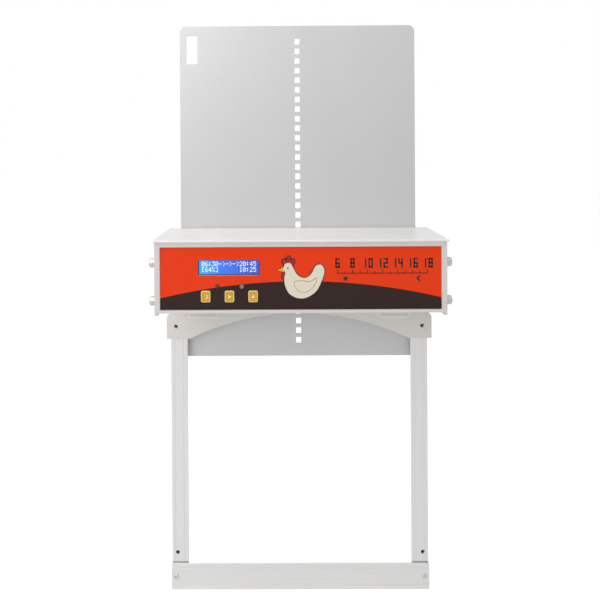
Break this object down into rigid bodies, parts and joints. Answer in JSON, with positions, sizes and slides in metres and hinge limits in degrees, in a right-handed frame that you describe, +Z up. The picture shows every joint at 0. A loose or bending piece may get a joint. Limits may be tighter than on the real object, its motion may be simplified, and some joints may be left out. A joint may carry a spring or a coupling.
{
  "type": "automatic coop door",
  "caption": "Automatic vertical-sliding coop door: punched sheet door in side rails, lifted by a sprocket in a control box with display, keys and light sensor on an arched bracket.",
  "frame": {"origin": "centre of the four wall screws, on the wall plane that the backs of the rails touch", "axes": "+X to the right seen from the front, +Y into the wall, +Z up along the door's travel"},
  "size_m": [0.312, 0.097, 0.6595],
  "materials": {
    "raw_aluminium": "mill-finish sheet, slightly matt",
    "extruded_aluminium": "satin extrusion with lengthwise die lines",
    "white_powder": "smooth gloss powder coat",
    "grey_powder": "warm light grey satin powder coat",
    "overlay_print": "printed film, orange over dark brown",
    "clear_window": "clear acrylic",
    "lcd_blue": "backlit blue display with pale characters",
    "backlight": "light guide",
    "bezel_black": "black display bezel",
    "board_green": "green circuit board",
    "black_plastic": "moulded black plastic",
    "button_yellow": "golden yellow keys with a pale edge",
    "led_dark": "dark tinted lens",
    "clear_lens": "clear domed lens",
    "zinc_steel": "zinc-plated fasteners",
    "white_acetal": "white acetal",
    "gear_grey": "die-cast gear case",
    "motor_steel": "plated motor can",
    "cell_skin": "plain cell sleeve",
    "red_wire": "insulated wire",
    "brass_contact": "plated contact plates"
  },
  "bodies": {
    "frame": {"arch_bracket": "grey_powder", "battery_cells": "cell_skin", "battery_contacts": "brass_contact", "battery_holder": "black_plastic", "battery_leads": "red_wire", "board_chips": "black_plastic", "board_screws": "zinc_steel", "board_spacers": "zinc_steel", "bottom_rail": "extruded_aluminium", "box_body": "white_powder", "box_nuts": "zinc_steel", "box_screws": "zinc_steel", "bracket_rivets": "zinc_steel", "control_board": "board_green", "corner_posts": "extruded_aluminium", "corner_rivets": "zinc_steel", "end_plate_left": "white_powder", "end_plate_right": "white_powder", "end_plate_rivets": "zinc_steel", "front_overlay": "overlay_print", "front_panel": "white_powder", "gearbox": "gear_grey", "gearbox_screws": "zinc_steel", "hanger_tabs": "grey_powder", "lcd_backlight": "backlight", "lcd_bezel": "bezel_black", "lcd_board": "board_green", "lcd_glass": "lcd_blue", "lcd_window": "clear_window", "light_sensor": "clear_lens", "limit_switch": "black_plastic", "motor": "motor_steel", "motor_bracket": "zinc_steel", "motor_leads": "red_wire", "power_jack": "black_plastic", "rail_left": "extruded_aluminium", "rail_right": "extruded_aluminium", "rear_tie_bar": "extruded_aluminium", "sensor_jack": "black_plastic", "side_flat_washers": "zinc_steel", "side_screws": "zinc_steel", "side_spring_washers": "zinc_steel", "status_led": "led_dark", "tact_switches": "black_plastic", "tie_bar_pins": "zinc_steel", "wear_pad": "white_acetal"},
    "door": {"door_panel": "raw_aluminium"},
    "drive": {"drive_sprocket": "white_acetal", "output_shaft": "zinc_steel", "hub_grub_screw": "zinc_steel"},
    "lid": {"lid": "white_powder"},
    "key_return": {"button_return": "button_yellow"},
    "key_next": {"button_next": "button_yellow"},
    "key_up": {"button_up": "button_yellow"},
    "plunger": {"limit_plunger": "black_plastic"}
  },
  "joints": [
    {"name": "door_slide", "type": "slide", "parent": "frame", "child": "door", "axis": [0, 0, 1], "range_m": [-0.257, 0]},
    {"name": "sprocket_spin", "type": "hinge", "parent": "frame", "child": "drive", "pos_m": [0, -0.02389, 0.20325], "axis": [1, 0, 0], "range_deg": [-813, 2]},
    {"name": "lid_lift", "type": "slide", "parent": "frame", "child": "lid", "axis": [0, 0, 1], "range_m": [0, 0.06]},
    {"name": "return_key_press", "type": "slide", "parent": "frame", "child": "key_return", "axis": [0, 1, 0], "range_m": [0, 0.0008], "stiffness_N_per_m": 400, "springref_m": -0.0006},
    {"name": "next_key_press", "type": "slide", "parent": "frame", "child": "key_next", "axis": [0, 1, 0], "range_m": [0, 0.0008], "stiffness_N_per_m": 400, "springref_m": -0.0006},
    {"name": "up_key_press", "type": "slide", "parent": "frame", "child": "key_up", "axis": [0, 1, 0], "range_m": [0, 0.0008], "stiffness_N_per_m": 400, "springref_m": -0.0006},
    {"name": "plunger_press", "type": "slide", "parent": "frame", "child": "plunger", "axis": [0, -1, 0], "range_m": [0, 0.0015], "stiffness_N_per_m": 300, "springref_m": -0.0008}
  ],
  "couplings": [
    {"joint": "sprocket_spin", "follows": "door_slide", "rad_per_m": 55.116}
  ]
}
